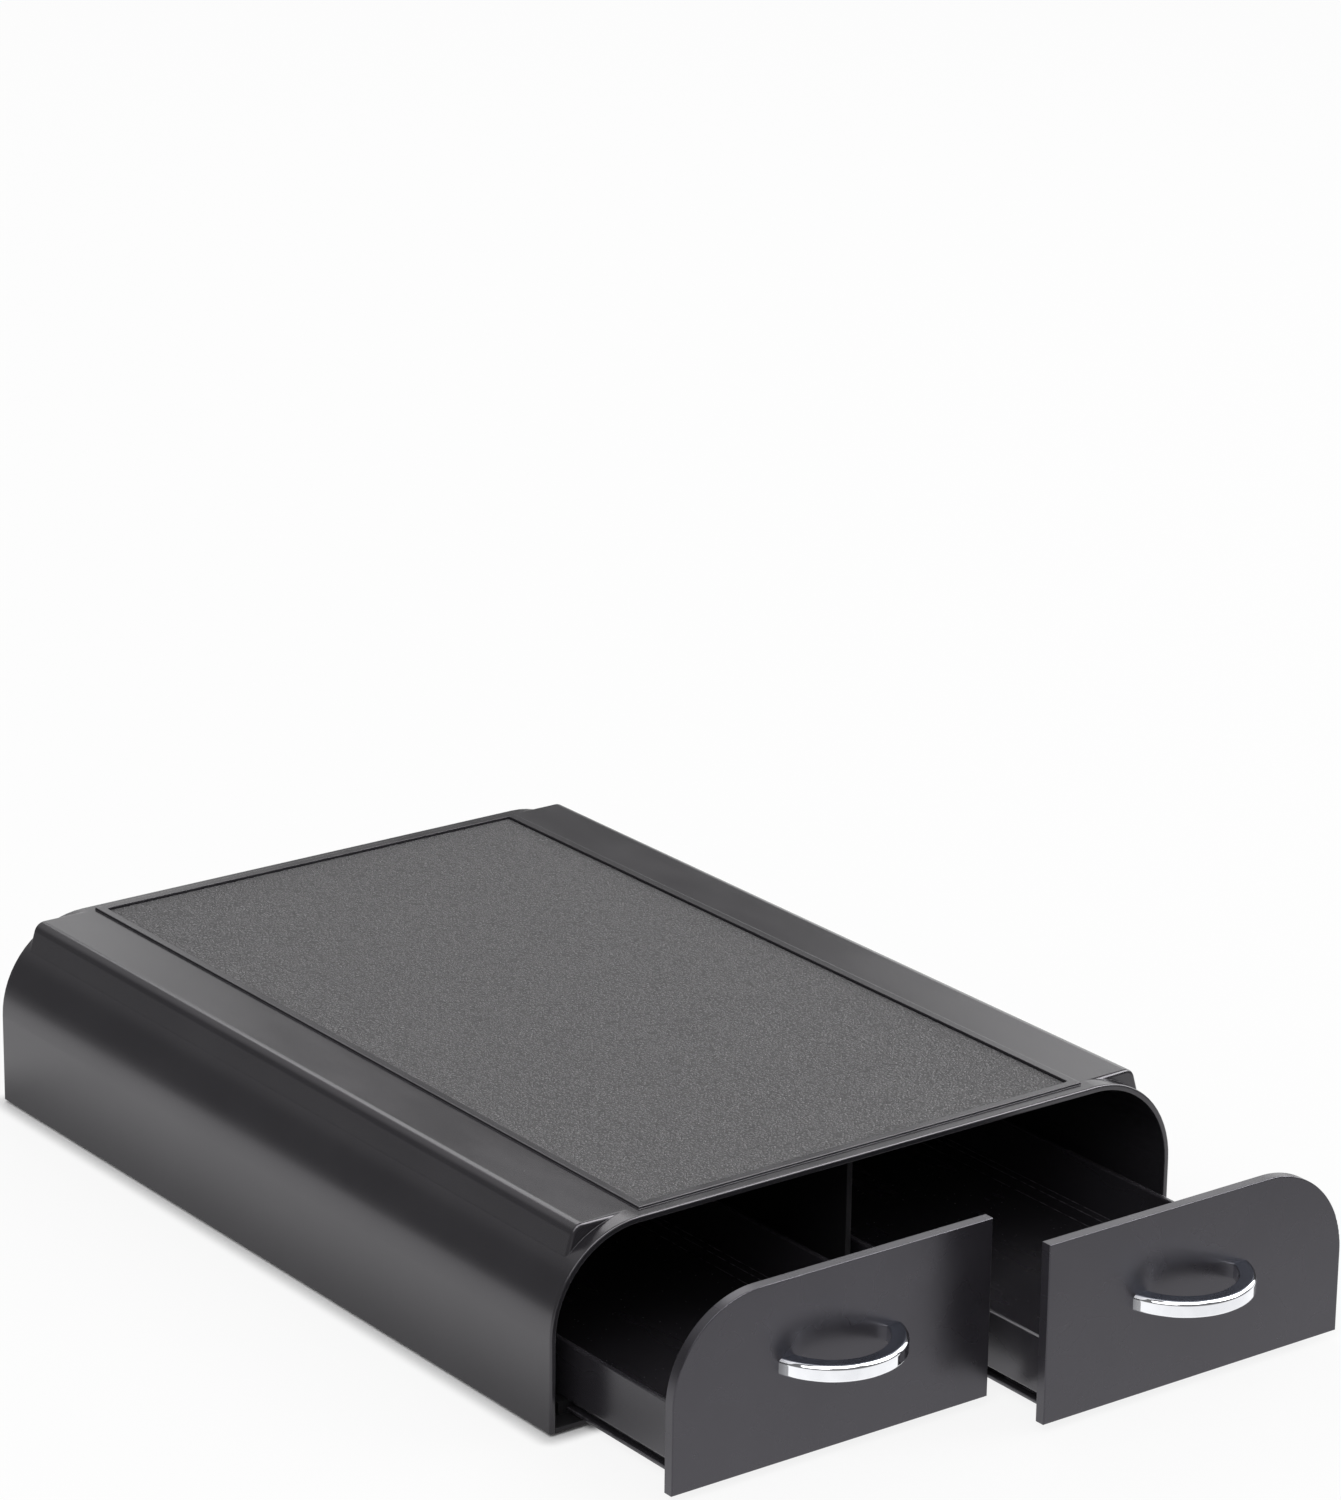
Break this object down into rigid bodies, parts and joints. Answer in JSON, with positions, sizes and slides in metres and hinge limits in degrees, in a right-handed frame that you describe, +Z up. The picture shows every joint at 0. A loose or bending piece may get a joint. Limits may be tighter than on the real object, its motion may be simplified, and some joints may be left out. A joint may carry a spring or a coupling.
{
  "type": "coffee pod organizer",
  "caption": "Low arched housing with a grained top mat for a coffee machine and side-by-side sliding drawers for coffee pods, each with a flat front and a bowed chrome handle.",
  "frame": {"origin": "on the table, under the middle of the housing's footprint, at the underside of the middle foot", "axes": "+X to the right seen from the front, -Y the way the drawers open, +Z up"},
  "size_m": [0.242, 0.4196, 0.0641],
  "materials": {
    "housing_plastic": "satin",
    "mat_grain": "leather grain",
    "inner_plastic": "satin",
    "tray_plastic": "satin",
    "front_plastic": "satin",
    "handle_chrome": "polished",
    "screw_steel": "plated",
    "foot_rubber": "matte"
  },
  "bodies": {
    "housing": {"housing_shell": "housing_plastic", "top_mat": "mat_grain", "base_panel": "inner_plastic", "back_panel": "inner_plastic", "centre_divider": "inner_plastic", "left_outer_rail": "inner_plastic", "left_inner_rail": "inner_plastic", "right_outer_rail": "inner_plastic", "right_inner_rail": "inner_plastic", "rubber_feet": "foot_rubber", "base_screws": "screw_steel", "rail_screws": "screw_steel", "back_screws": "screw_steel"},
    "left_drawer": {"left_drawer_tray": "tray_plastic", "left_drawer_front": "front_plastic", "left_handle": "handle_chrome", "left_handle_screws": "screw_steel", "left_front_screws": "screw_steel"},
    "right_drawer": {"right_drawer_tray": "tray_plastic", "right_drawer_front": "front_plastic", "right_handle": "handle_chrome", "right_handle_screws": "screw_steel", "right_front_screws": "screw_steel"}
  },
  "joints": [
    {"name": "left_drawer_slide", "type": "slide", "parent": "housing", "child": "left_drawer", "axis": [0, -1, 0], "range_m": [-0.0568, 0.1732]},
    {"name": "right_drawer_slide", "type": "slide", "parent": "housing", "child": "right_drawer", "axis": [0, -1, 0], "range_m": [-0.082, 0.148]}
  ]
}
